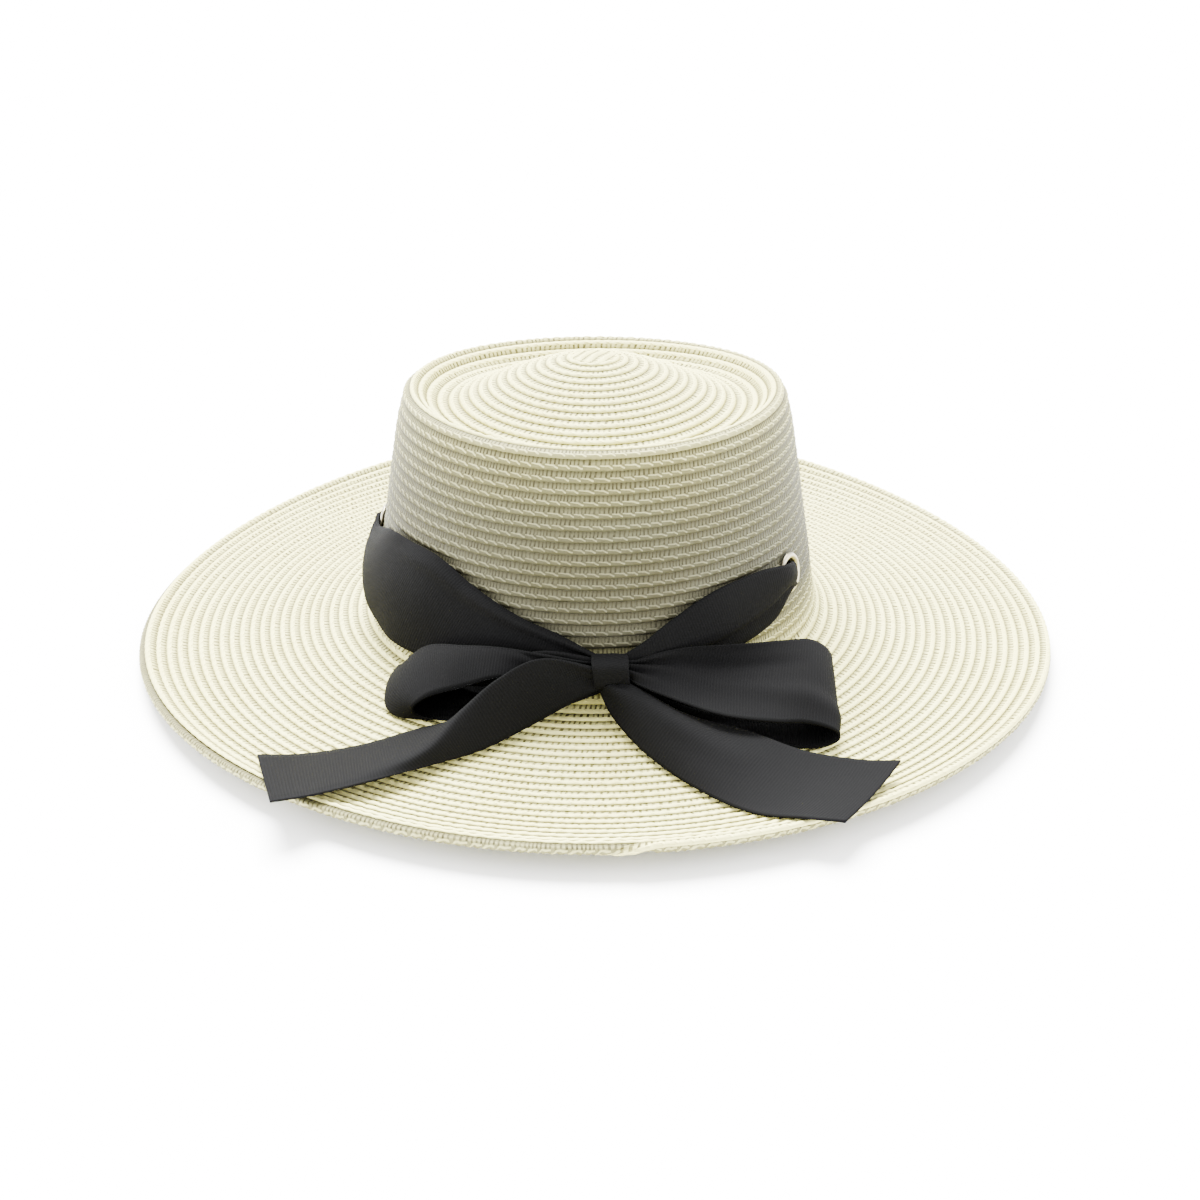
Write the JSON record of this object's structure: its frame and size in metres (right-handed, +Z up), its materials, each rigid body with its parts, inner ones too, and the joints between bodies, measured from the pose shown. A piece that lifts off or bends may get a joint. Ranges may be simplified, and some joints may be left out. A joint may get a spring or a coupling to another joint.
{
  "type": "wide-brim straw boater hat with ribbon bow",
  "caption": "Hollow sewn-braid straw hat with a dished telescope crown, a wide upturned brim, metal eyelets and a wide ribbon threaded through them and tied in a bow at the front.",
  "frame": {"origin": "on the surface the hat stands on, under the middle of the brim", "axes": "+Z up through the crown, -Y towards the front where the bow is, +X to the bow's right as seen from the front"},
  "size_m": [0.372, 0.381, 0.111],
  "materials": {
    "straw": "matte sewn paper braid",
    "ribbon": "matte ribbed grosgrain",
    "eyelet_metal": "satin"
  },
  "bodies": {
    "root": {"crown": "straw", "brim": "straw", "eyelet_left": "eyelet_metal", "eyelet_right": "eyelet_metal", "ribbon_inside": "ribbon", "ribbon_left": "ribbon", "ribbon_right": "ribbon", "bow_loop_left": "ribbon", "bow_loop_right": "ribbon", "bow_tail_left": "ribbon", "bow_tail_right": "ribbon", "bow_knot": "ribbon"}
  },
  "joints": []
}
